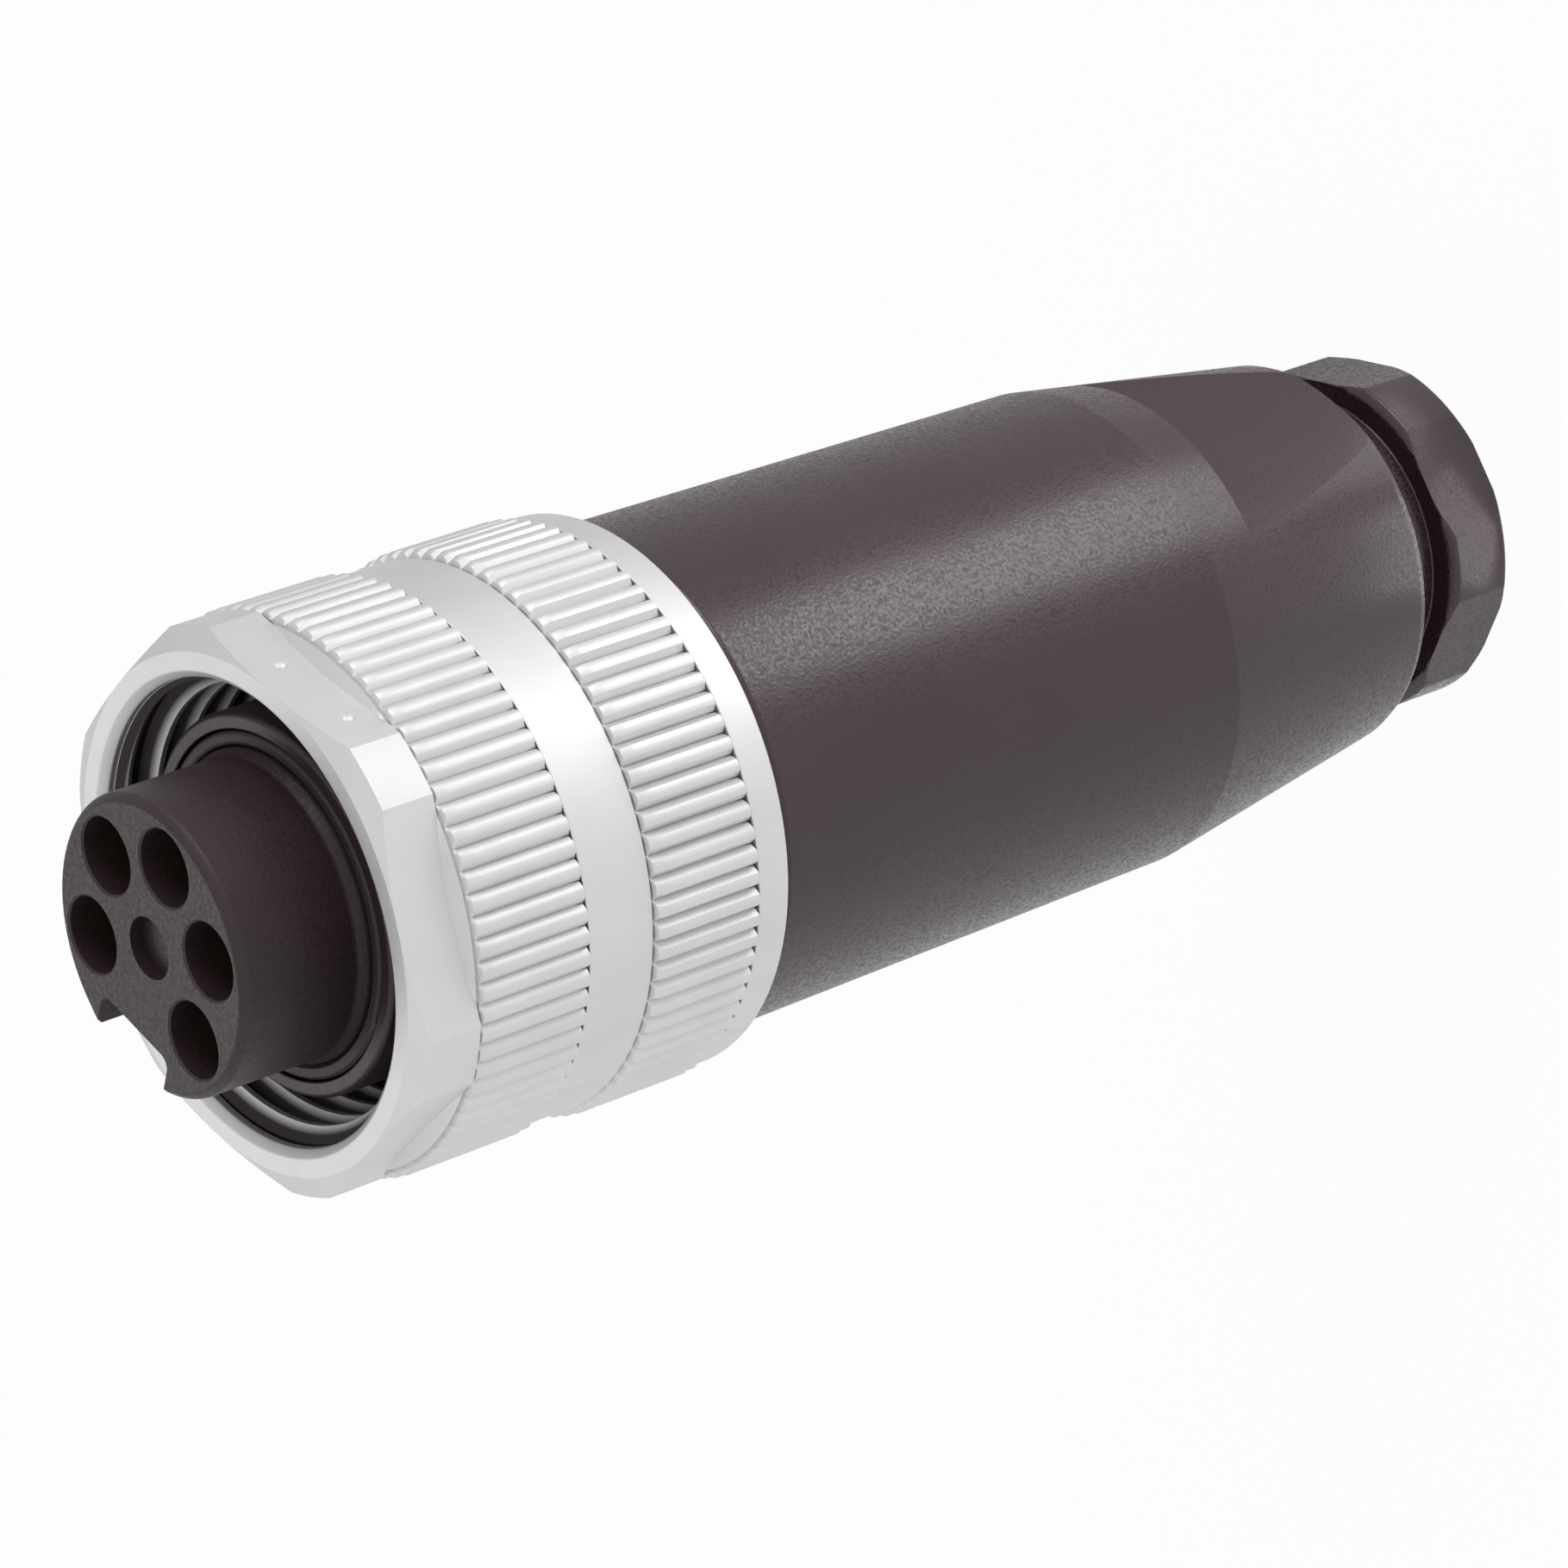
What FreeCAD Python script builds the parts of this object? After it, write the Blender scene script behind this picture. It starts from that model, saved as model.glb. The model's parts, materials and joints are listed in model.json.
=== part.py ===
"""Circular connector: five-pole cable socket with a loose hexagon coupling ring.

Every length is in millimetres and every angle in degrees. Z is the connector's axis and
z = 0 the rear face of the gland nut, on which it stands. +Z is the mating end, and +X
passes through the keyway of the contact insert.
"""
import FreeCAD
import Part
import math
import os

from FreeCAD import Vector

# Clearances, each used wherever that kind of neighbour meets
THREAD_GAP = 0.03        # between two tight threads, both drawn plain
RUNNING_THREAD_GAP = 0.10  # round the gland nut's thread, which turns
SPIN_GAP = 0.30          # round the coupling ring, in radius and at each end
SEAT_GAP = 0.05          # between pieces that butt together
SLIP_GAP = 0.10          # round pieces that slide in by hand

# Contacts
POLE_ANGLES = (60, 120, 180, 240, 300)
POLE_RADIUS = 4.65       # of the circle on which the poles stand
POLE_HOLE = 1.85
POLE_HOLE_LEAD = 0.1
CONTACT_RECESS = 3.0
SOCKET_RADIUS = 1.5
SOCKET_BORE = 1.0
SOCKET_LEAD = 0.2        # at the mouth of the bore
SOCKET_TIP = 0.3         # chamfer outside the mouth
SOCKET_DEPTH = 9.5
SOCKET_FLOOR = 0.8
SLOT_WIDTH = 0.3
SLOT_LENGTH = 7.0
SHANK_RADIUS = 1.1
BARREL_RADIUS = 1.85
BARREL_LENGTH = 11.5
WIRE_BORE = 0.95
WIRE_BORE_LENGTH = 8.0
WIRE_ENTRY_GAP = 0.35    # of the block's entry round the wire bore

# Insert and carrier, from the poles outwards
NOSE_WALL = 0.7          # outside the pole holes
NOSE_RADIUS = POLE_RADIUS + POLE_HOLE + NOSE_WALL
NOSE_CHAMFER = 0.35
NOSE_BASE = 0.5          # height of the cone at the nose's foot
NOSE_BASE_FLARE = 0.3
NOSE_BASE_RADIUS = NOSE_RADIUS + NOSE_BASE_FLARE
KEYWAY_WIDTH = 5.3
KEYWAY_DEPTH = 2.5
KEYWAY_ROUND = 0.6
RECESS_RADIUS = 1.5
RECESS_DEPTH = 0.7
FACE_SEAL_WIDTH = 0.7
FACE_SEAL_RADIUS = NOSE_BASE_RADIUS + SEAT_GAP + FACE_SEAL_WIDTH
CARRIER_BORE = FACE_SEAL_RADIUS + SLIP_GAP
CARRIER_WALL = 0.8
CARRIER_RADIUS = CARRIER_BORE + CARRIER_WALL
BARREL_WALL = 0.7        # insulation outside the barrels
CARRIER_REAR_BORE = POLE_RADIUS + BARREL_RADIUS + BARREL_WALL + SLIP_GAP
CARRIER_THREAD_WALL = 1.7
JOINT_THREAD_RADIUS = CARRIER_REAR_BORE + CARRIER_THREAD_WALL  # M18x1, into the housing
HUB_STEP = 0.2
HUB_RADIUS = JOINT_THREAD_RADIUS + HUB_STEP  # stops on the housing's neck, carries the ring
FLANGE_WIDTH = 0.9
FLANGE_RADIUS = HUB_RADIUS + FLANGE_WIDTH
FLANGE_THICKNESS = 1.2
FLANGE_CHAMFER = 0.3
CARRIER_CHAMFER = 0.4
HOUSING_SEAL_SECTION = 0.45

# Terminal block and screws
BLOCK_RADIUS = CARRIER_REAR_BORE + 0.1
BLOCK_COLLAR = 1.8
BLOCK_COLLAR_STEP = 0.6
BLOCK_COLLAR_RADIUS = JOINT_THREAD_RADIUS - BLOCK_COLLAR_STEP
SCREW_RADIUS = 0.9
SCREW_LENGTH = 1.8
SCREW_BITE = 0.3         # how far a screw reaches into its wire bore
SCREW_POCKET = 1.15
SCREW_SLOT = 0.3
SCREW_SLOT_DEPTH = 0.4

# Coupling ring
THREAD_CREST_GAP = 0.25  # lets the carrier's flange pass the coupling thread's crests
THREAD_MINOR_RADIUS = FLANGE_RADIUS + THREAD_CREST_GAP
THREAD_HEIGHT = 0.7625
THREAD_MAJOR_RADIUS = THREAD_MINOR_RADIUS + THREAD_HEIGHT  # 7/8-16 coupling thread
THREAD_MOUTH = 0.3875
RING_WALL = 2.3875       # over the thread
RING_RADIUS = THREAD_MAJOR_RADIUS + RING_WALL
RING_REAR_WALL = 1.6
RING_COLLAR = 1.85       # plain band at the rear
REAR_KNURL_LENGTH = 6.1
KNURL_GROOVE = 0.15      # turned behind each knurl
RING_BAND = 3.65         # plain band between the two knurls
RING_BAND_DEPTH = 0.15   # below the ring's turned outside
RING_SHOULDER = 2.4      # inner shoulder that traps the ring
REAR_KNURL_RISE = 0.22   # of the ribs above the ring's turned outside
FRONT_KNURL_RISE = 0.1
KNURL_CHAMFER = 0.4
RIBS = 80
RIB_VALLEY_DEPTH = 0.25  # below the ring's turned outside
RIB_CREST = 0.44         # share of the pitch that is crest
HEX_DEPTH = 1.1         # of the flats, below the ring's turned outside
HEX_CORNER_FACE = 2.75    # length of the turned faces on the hexagon's corners
HEX_STEP = 0.35           # length of the cone that ends the flats
HEX_CORNER_ANGLE = 154.4  # seen from the front, measured from the keyway
FACE_CHAMFER = 0.5       # along the axis, at the ring's front edge
FACE_CHAMFER_DROP = 1.1
DIMPLE_RADIUS = 0.3
DIMPLE_DEPTH = 0.16
DIMPLES = ((-3.4, 1.9), (1.35, 1.65))  # along one flat, and behind the ring's front

# Cable gland, from the cable outwards
CABLE_BORE_RADIUS = 4.9
CABLE_BORE_MOUTH = 0.9
NUT_SHANK_WALL = 2.6
GLAND_THREAD_RADIUS = CABLE_BORE_RADIUS + NUT_SHANK_WALL + RUNNING_THREAD_GAP  # PG 9
NUT_FLAT_OVERHANG = 0.9  # of the head's flats over its thread
NUT_CORNER_OVERHANG = 1.4
NUT_FLAT_ANGLE = 24.8
NUT_ROUND = 0.4
NUT_HEAD_CHAMFER = 0.35
NUT_NOSE_CHAMFER = 0.5
NUT_TRAVEL = 1.1         # inward, until the washer meets the basket
GLAND_THREAD_STEP = 0.4
GLAND_BORE_RADIUS = GLAND_THREAD_RADIUS - GLAND_THREAD_STEP
WASHER_THICKNESS = 0.9
BASKET_BASE = 1.8
BASKET_LENGTH = 9.0
BASKET_GAP = 0.25
BASKET_RADIUS = GLAND_BORE_RADIUS - BASKET_GAP
BASKET_WALL = 0.85
BASKET_FINGERS = 8
FINGER_GAP = 1.3
CABLE_GRIP = 0.35        # of the seal, inside the nut's bore
CABLE_SEAL_BORE = CABLE_BORE_RADIUS - CABLE_GRIP
CABLE_SEAL_GAP = 0.15
CABLE_SEAL_RADIUS = BASKET_RADIUS - BASKET_WALL - CABLE_SEAL_GAP
WEB_OVERLAP = 0.75       # of the housing's web over the seal's front
WIRE_WINDOW_RADIUS = CABLE_SEAL_RADIUS - WEB_OVERLAP
WASHER_BORE_GAP = 0.2    # round the cable's way through washer and basket
BASKET_TIP = 0.6         # chamfer on the fingers
BASKET_TIP_WALL = 0.2

# Housing
NECK_RADIUS = RING_RADIUS - RING_REAR_WALL - SPIN_GAP
RING_OVERHANG = 1.0      # of the ring over the housing
HOUSING_RADIUS = RING_RADIUS - RING_OVERHANG
HOUSING_TAPER = 0.34     # lost in radius from the shoulder to the crease
HOUSING_CREASE_RADIUS = HOUSING_RADIUS - HOUSING_TAPER
GLAND_WALL = 2.32
HOUSING_REAR_RADIUS = GLAND_THREAD_RADIUS + GLAND_WALL
HOUSING_REAR_ROUND = 0.9
HOUSING_WALL = 2.1
CAVITY_RADIUS = HOUSING_RADIUS - HOUSING_WALL
CAVITY_CONE = 3.0        # length of the cone at the cavity's floor
CAVITY_WEB = 1.5         # between the cavity's floor and the cable seal
FINGER_CONE = 2.0        # length of the cone that squeezes the basket
WRENCH_FLAT_DEPTH = 0.42  # below the housing's rear radius
WRENCH_FLAT_ANGLE = 180.0

# Lengths along the axis
NUT_HEAD_FRONT = 4.0
NUT_STANDOFF = 2.6       # bare thread between the nut's head and the housing
NUT_SHANK_LENGTH = 9.5
GLAND_THREAD_SPARE = 0.8  # of thread beyond the nut's nose
SEAL_OVERHANG = 1.85     # of the cable seal in front of the basket
WRENCH_FLAT_LENGTH = 11.9  # where the flats end against the cone
REAR_CONE_LENGTH = 15.2
HANDLE_LENGTH = 44.1
SHOULDER_GAP = 0.5       # between the housing's shoulder and the ring
NECK_LENGTH = 8.7
JOINT_THREAD_LENGTH = 12.8
JOINT_THREAD_CONE = 0.9
CARRIER_THREAD_LENGTH = 10.7
INSERT_RECESS = 3.5      # from the carrier's rear to the insert
WIRE_ENTRY_LENGTH = 2.45
SCREW_SETBACK = 2.75
HOUSING_SEAL_SETBACK = 1.3
INSERT_SEAT_HEIGHT = 3.1  # above the housing's neck
INSERT_FLANGE_LENGTH = 6.2
FACE_SEAL_LENGTH = 2.0
NOSE_LENGTH = 6.7
RIM_RECESS = 1.6         # of the carrier's rim inside the ring

# Places along the axis, from the cable end to the mating end
HOUSING_REAR = NUT_HEAD_FRONT + NUT_STANDOFF
NUT_NOSE = NUT_HEAD_FRONT + NUT_SHANK_LENGTH
GLAND_THREAD_END = NUT_NOSE + GLAND_THREAD_SPARE
BASKET_REAR = NUT_NOSE + SEAT_GAP + WASHER_THICKNESS + NUT_TRAVEL + SLIP_GAP
SEAL_FRONT = BASKET_REAR + BASKET_LENGTH + SEAL_OVERHANG
CAVITY_FLOOR = SEAL_FRONT + CAVITY_WEB
FLAT_STEP = HOUSING_REAR + WRENCH_FLAT_LENGTH
HOUSING_CREASE = HOUSING_REAR + REAR_CONE_LENGTH
HOUSING_SHOULDER = HOUSING_REAR + HANDLE_LENGTH
RING_REAR = HOUSING_SHOULDER + SHOULDER_GAP
NECK_FRONT = HOUSING_SHOULDER + NECK_LENGTH
JOINT_THREAD_REAR = NECK_FRONT - JOINT_THREAD_LENGTH
CAVITY_TOP = JOINT_THREAD_REAR - JOINT_THREAD_CONE
CARRIER_REAR = NECK_FRONT - CARRIER_THREAD_LENGTH
INSERT_REAR = CARRIER_REAR + INSERT_RECESS
BARREL_REAR = INSERT_REAR - SEAT_GAP - BARREL_LENGTH
BLOCK_REAR = BARREL_REAR - WIRE_ENTRY_LENGTH
SCREW_PLACE = BARREL_REAR + SCREW_SETBACK
HOUSING_SEAL_PLACE = NECK_FRONT - HOUSING_SEAL_SETBACK
INSERT_SEAT = NECK_FRONT + INSERT_SEAT_HEIGHT
SEAL_SEAT = INSERT_SEAT + INSERT_FLANGE_LENGTH
RIM_FRONT = SEAL_SEAT + FACE_SEAL_LENGTH  # front of the carrier and of the flat seal
NOSE_FRONT = RIM_FRONT + NOSE_LENGTH
RING_FRONT = RIM_FRONT + RIM_RECESS

SMALL_ROUND = 0.4        # up to this size a round is one chamfer

AXIS = Vector(0, 0, 1)
ORIGIN = Vector(0, 0, 0)


def polar(radius, angle, z=0.0):
    """The point at this radius and angle about the axis."""
    turn = math.radians(angle)
    return Vector(radius * math.cos(turn), radius * math.sin(turn), z)


def turned(corners):
    """A solid turned about Z from (radius, z) corners; a third number rounds that corner.

    A small round is one chamfer and a larger one three chords, which keeps the facets few.
    """
    points = [Vector(corner[0], 0, corner[1]) for corner in corners]
    outline = []
    for i, corner in enumerate(corners):
        here = points[i]
        if len(corner) < 3:
            outline.append(here)
            continue
        back = (points[i - 1] - here).normalize()
        ahead = (points[(i + 1) % len(points)] - here).normalize()
        half = back.getAngle(ahead) / 2
        inward = (back + ahead).normalize()
        centre = here + inward * (corner[2] / math.sin(half))
        tangent = corner[2] / math.tan(half)
        start = here + back * tangent
        end = here + ahead * tangent
        outline.append(start)
        if corner[2] > SMALL_ROUND:
            near = Part.Arc(start, centre - inward * corner[2], end)
            first, last = near.FirstParameter, near.LastParameter
            outline.append(near.value(first + (last - first) / 3))
            outline.append(near.value(first + (last - first) * 2 / 3))
        outline.append(end)
    outline.append(outline[0])
    return Part.Face(Part.makePolygon(outline)).revolve(ORIGIN, AXIS, 360)


def tube(outer, inner, rear, front):
    """A plain ring between two radii."""
    return turned([(inner, rear), (outer, rear), (outer, front), (inner, front)])


def rod(radius, rear, front, at=ORIGIN):
    """A cylinder along Z through the point `at`."""
    return Part.makeCylinder(radius, front - rear, Vector(at.x, at.y, rear))


def prism(points, rear, front):
    """A polygon in XY drawn out between two heights."""
    closed = [Vector(p.x, p.y, rear) for p in points]
    closed.append(closed[0])
    return Part.Face(Part.makePolygon(closed)).extrude(Vector(0, 0, front - rear))


def hexagon(across_flats, flat_angle, rear, front):
    """A hexagonal prism with one flat facing flat_angle."""
    corner = across_flats / 2 / math.cos(math.radians(30))
    return prism([polar(corner, flat_angle + 30 + 60 * k) for k in range(6)], rear, front)


def half_space(distance, angle, rear, front, reach=40.0):
    """The block beyond a plane that faces `angle` at this distance from the axis."""
    block = Part.makeBox(reach, 2 * reach, front - rear, Vector(distance, -reach, rear))
    return block.rotate(ORIGIN, AXIS, angle)


def knurled(crest, rear, front):
    """A disc with V grooves along it, its ribs chamfered at the front."""
    pitch = 360 / RIBS
    root = RING_RADIUS - RIB_VALLEY_DEPTH
    points = []
    for k in range(RIBS):
        valley = HEX_CORNER_ANGLE + k * pitch
        points.append(polar(root, valley))
        points.append(polar(crest, valley + pitch * (0.5 - RIB_CREST / 2)))
        points.append(polar(crest, valley + pitch * (0.5 + RIB_CREST / 2)))
    envelope = turned([
        (0, rear), (crest, rear), (crest, front - KNURL_CHAMFER), (root, front), (0, front),
    ])
    return prism(points, rear, front).common(envelope)


def coupling_ring():
    """The metal ring: two knurled bands, a turned hexagon, a threaded bore and a shoulder."""
    collar_front = RING_REAR + RING_COLLAR
    band_rear = collar_front + REAR_KNURL_LENGTH
    band_front = band_rear + RING_BAND
    hex_rear = RING_FRONT - FACE_CHAMFER - HEX_CORNER_FACE
    apothem = RING_RADIUS - HEX_DEPTH

    rear_collar = turned([
        (0, RING_REAR), (RING_RADIUS, RING_REAR, 0.2), (RING_RADIUS, collar_front),
        (0, collar_front),
    ])
    rear_knurl = knurled(RING_RADIUS + REAR_KNURL_RISE, collar_front + KNURL_GROOVE, band_rear)
    middle_band = rod(RING_RADIUS - RING_BAND_DEPTH, band_rear, band_front)
    front_knurl = knurled(RING_RADIUS + FRONT_KNURL_RISE, band_front + KNURL_GROOVE, hex_rear)
    groove_floors = rod(RING_RADIUS - RIB_VALLEY_DEPTH, collar_front, hex_rear)
    step_cone = turned([
        (0, hex_rear), (RING_RADIUS - RIB_VALLEY_DEPTH, hex_rear),
        (apothem, hex_rear + HEX_STEP), (0, hex_rear + HEX_STEP),
    ])
    turned_end = turned([
        (0, hex_rear), (RING_RADIUS, hex_rear), (RING_RADIUS, hex_rear + HEX_CORNER_FACE),
        (RING_RADIUS - FACE_CHAMFER_DROP, RING_FRONT), (0, RING_FRONT),
    ])
    flats = hexagon(2 * apothem, HEX_CORNER_ANGLE + 30, hex_rear, RING_FRONT)
    outside = rear_collar.fuse([
        rear_knurl, middle_band, front_knurl, groove_floors, step_cone,
        turned_end.common(flats),
    ])

    shoulder_rear = NECK_FRONT + SPIN_GAP
    shoulder_front = shoulder_rear + RING_SHOULDER
    mouth = THREAD_MAJOR_RADIUS + THREAD_MOUTH
    bore = turned([
        (0, RING_REAR - 1), (NECK_RADIUS + SPIN_GAP, RING_REAR - 1),
        (NECK_RADIUS + SPIN_GAP, shoulder_rear), (HUB_RADIUS + SPIN_GAP, shoulder_rear),
        (HUB_RADIUS + SPIN_GAP, shoulder_front), (THREAD_MAJOR_RADIUS, shoulder_front),
        (THREAD_MAJOR_RADIUS, RING_FRONT - THREAD_MOUTH), (mouth, RING_FRONT),
        (mouth, RING_FRONT + 1), (0, RING_FRONT + 1),
    ])
    ring = outside.cut(bore)

    dimples = []
    sphere = (DIMPLE_RADIUS ** 2 + DIMPLE_DEPTH ** 2) / (2 * DIMPLE_DEPTH)
    for along, inset in DIMPLES:
        centre = Vector(apothem + sphere - DIMPLE_DEPTH, along, RING_FRONT - inset)
        ball = Part.makeSphere(sphere, centre)
        dimples.append(ball.rotate(ORIGIN, AXIS, HEX_CORNER_ANGLE + 30))
    return ring.cut(dimples).removeSplitter()


def housing_sleeve():
    """The plastic handle: neck for the ring, wiring cavity, gland seat and wrench flats."""
    joint_bore = JOINT_THREAD_RADIUS + THREAD_GAP
    seat = SEAL_FRONT + SEAT_GAP
    body = turned([
        (joint_bore, NECK_FRONT), (NECK_RADIUS, NECK_FRONT), (NECK_RADIUS, HOUSING_SHOULDER),
        (HOUSING_RADIUS, HOUSING_SHOULDER, 0.3), (HOUSING_CREASE_RADIUS, HOUSING_CREASE),
        (HOUSING_REAR_RADIUS, HOUSING_REAR, HOUSING_REAR_ROUND),
        (GLAND_THREAD_RADIUS, HOUSING_REAR), (GLAND_THREAD_RADIUS, GLAND_THREAD_END),
        (GLAND_BORE_RADIUS, GLAND_THREAD_END + 0.3), (GLAND_BORE_RADIUS, SEAL_FRONT - FINGER_CONE),
        (CABLE_SEAL_RADIUS + SLIP_GAP, seat), (WIRE_WINDOW_RADIUS, seat),
        (WIRE_WINDOW_RADIUS, CAVITY_FLOOR), (CAVITY_RADIUS, CAVITY_FLOOR + CAVITY_CONE),
        (CAVITY_RADIUS, CAVITY_TOP), (joint_bore, JOINT_THREAD_REAR),
    ])
    flats = [
        half_space(HOUSING_REAR_RADIUS - WRENCH_FLAT_DEPTH, WRENCH_FLAT_ANGLE + 180 * k, 0,
                   FLAT_STEP)
        for k in range(2)
    ]
    return body.cut(flats)


def gland_nut():
    """Pressing screw of the cable gland, with a hexagon head and a threaded shank."""
    corner = GLAND_THREAD_RADIUS + NUT_CORNER_OVERHANG
    apothem = GLAND_THREAD_RADIUS + NUT_FLAT_OVERHANG
    head = turned([
        (0, 0), (corner, 0, NUT_ROUND), (corner, NUT_HEAD_FRONT - NUT_HEAD_CHAMFER),
        (apothem, NUT_HEAD_FRONT), (0, NUT_HEAD_FRONT),
    ])
    head = head.common(hexagon(2 * apothem, NUT_FLAT_ANGLE, 0, NUT_HEAD_FRONT))
    shank_radius = GLAND_THREAD_RADIUS - RUNNING_THREAD_GAP
    shank = turned([
        (0, NUT_HEAD_FRONT - 1), (shank_radius, NUT_HEAD_FRONT - 1),
        (shank_radius, NUT_NOSE - NUT_NOSE_CHAMFER), (shank_radius - NUT_NOSE_CHAMFER, NUT_NOSE),
        (0, NUT_NOSE),
    ])
    mouth = CABLE_BORE_RADIUS + CABLE_BORE_MOUTH
    bore = turned([
        (0, -1), (mouth, -1), (mouth, 0), (CABLE_BORE_RADIUS, CABLE_BORE_MOUTH),
        (CABLE_BORE_RADIUS, NUT_NOSE + 1), (0, NUT_NOSE + 1),
    ])
    return head.fuse(shank).cut(bore).removeSplitter()


def slip_washer():
    """Thin ring that lets the nut turn without turning the basket."""
    rear = NUT_NOSE + SEAT_GAP
    bore = CABLE_BORE_RADIUS + WASHER_BORE_GAP
    return tube(BASKET_RADIUS, bore, rear, rear + WASHER_THICKNESS)


def clamp_basket():
    """Slotted cage whose fingers the housing's cone squeezes on the cable seal."""
    rear = BASKET_REAR
    front = rear + BASKET_LENGTH
    inner = BASKET_RADIUS - BASKET_WALL
    base_bore = CABLE_BORE_RADIUS + WASHER_BORE_GAP
    basket = turned([
        (base_bore, rear), (BASKET_RADIUS, rear), (BASKET_RADIUS, front - BASKET_TIP),
        (inner + BASKET_TIP_WALL, front), (inner, front),
        (inner, rear + BASKET_BASE), (base_bore, rear + BASKET_BASE),
    ])
    gaps = []
    for k in range(BASKET_FINGERS // 2):
        gap = Part.makeBox(2 * BASKET_RADIUS + 2, FINGER_GAP, BASKET_LENGTH,
                           Vector(-BASKET_RADIUS - 1, -FINGER_GAP / 2, rear + BASKET_BASE + 0.4))
        gaps.append(gap.rotate(ORIGIN, AXIS, 180 / (BASKET_FINGERS // 2) * k))
    return basket.cut(gaps)


def cable_seal():
    """Soft sleeve round the cable, inside the basket."""
    rear = BASKET_REAR + BASKET_BASE + SEAT_GAP
    return turned([
        (CABLE_SEAL_BORE, rear), (CABLE_SEAL_RADIUS, rear), (CABLE_SEAL_RADIUS, SEAL_FRONT),
        (CABLE_SEAL_BORE, SEAL_FRONT, 0.4),
    ])


def carrier_shell():
    """Shell that screws into the housing, traps the ring by its flange and holds the insert."""
    flange_rear = NECK_FRONT + SPIN_GAP + RING_SHOULDER + SPIN_GAP
    flange_front = flange_rear + FLANGE_THICKNESS
    groove_rear = HOUSING_SEAL_PLACE - HOUSING_SEAL_SECTION - SEAT_GAP
    groove_front = HOUSING_SEAL_PLACE + HOUSING_SEAL_SECTION + SEAT_GAP
    groove_floor = JOINT_THREAD_RADIUS - 2 * HOUSING_SEAL_SECTION
    return turned([
        (CARRIER_REAR_BORE, CARRIER_REAR), (JOINT_THREAD_RADIUS - CARRIER_CHAMFER, CARRIER_REAR),
        (JOINT_THREAD_RADIUS, CARRIER_REAR + CARRIER_CHAMFER), (JOINT_THREAD_RADIUS, groove_rear),
        (groove_floor, groove_rear), (groove_floor, groove_front),
        (JOINT_THREAD_RADIUS, groove_front), (JOINT_THREAD_RADIUS, NECK_FRONT + SEAT_GAP),
        (HUB_RADIUS, NECK_FRONT + SEAT_GAP), (HUB_RADIUS, flange_rear),
        (FLANGE_RADIUS, flange_rear), (FLANGE_RADIUS, flange_front - FLANGE_CHAMFER),
        (FLANGE_RADIUS - FLANGE_CHAMFER, flange_front), (CARRIER_RADIUS, flange_front),
        (CARRIER_RADIUS, RIM_FRONT, 0.2), (CARRIER_BORE, RIM_FRONT),
        (CARRIER_BORE, INSERT_SEAT), (CARRIER_REAR_BORE, INSERT_SEAT),
    ])


def housing_seal():
    """O-ring between the carrier's thread and the housing's neck, its section a polygon."""
    middle = JOINT_THREAD_RADIUS - HOUSING_SEAL_SECTION
    sides = 10
    section = []
    for k in range(sides):
        spot = polar(HOUSING_SEAL_SECTION, (k + 0.5) * 360 / sides)
        section.append((middle + spot.x, HOUSING_SEAL_PLACE + spot.y))
    return turned(section)


def face_seal():
    """Flat rubber ring on the insert's flange, which the mating connector's rim squeezes."""
    return turned([
        (NOSE_BASE_RADIUS + SEAT_GAP, SEAL_SEAT + SEAT_GAP),
        (FACE_SEAL_RADIUS, SEAL_SEAT + SEAT_GAP), (FACE_SEAL_RADIUS, RIM_FRONT, 0.15),
        (NOSE_BASE_RADIUS + SEAT_GAP, RIM_FRONT, 0.15),
    ])


def pole_spot(angle):
    """Centre of one pole."""
    return polar(POLE_RADIUS, angle)


def socket_seat():
    """Floor of the wide part of each pole's hole, on which the contact's socket stands."""
    return NOSE_FRONT - CONTACT_RECESS - SOCKET_DEPTH - SOCKET_FLOOR - SEAT_GAP


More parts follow.
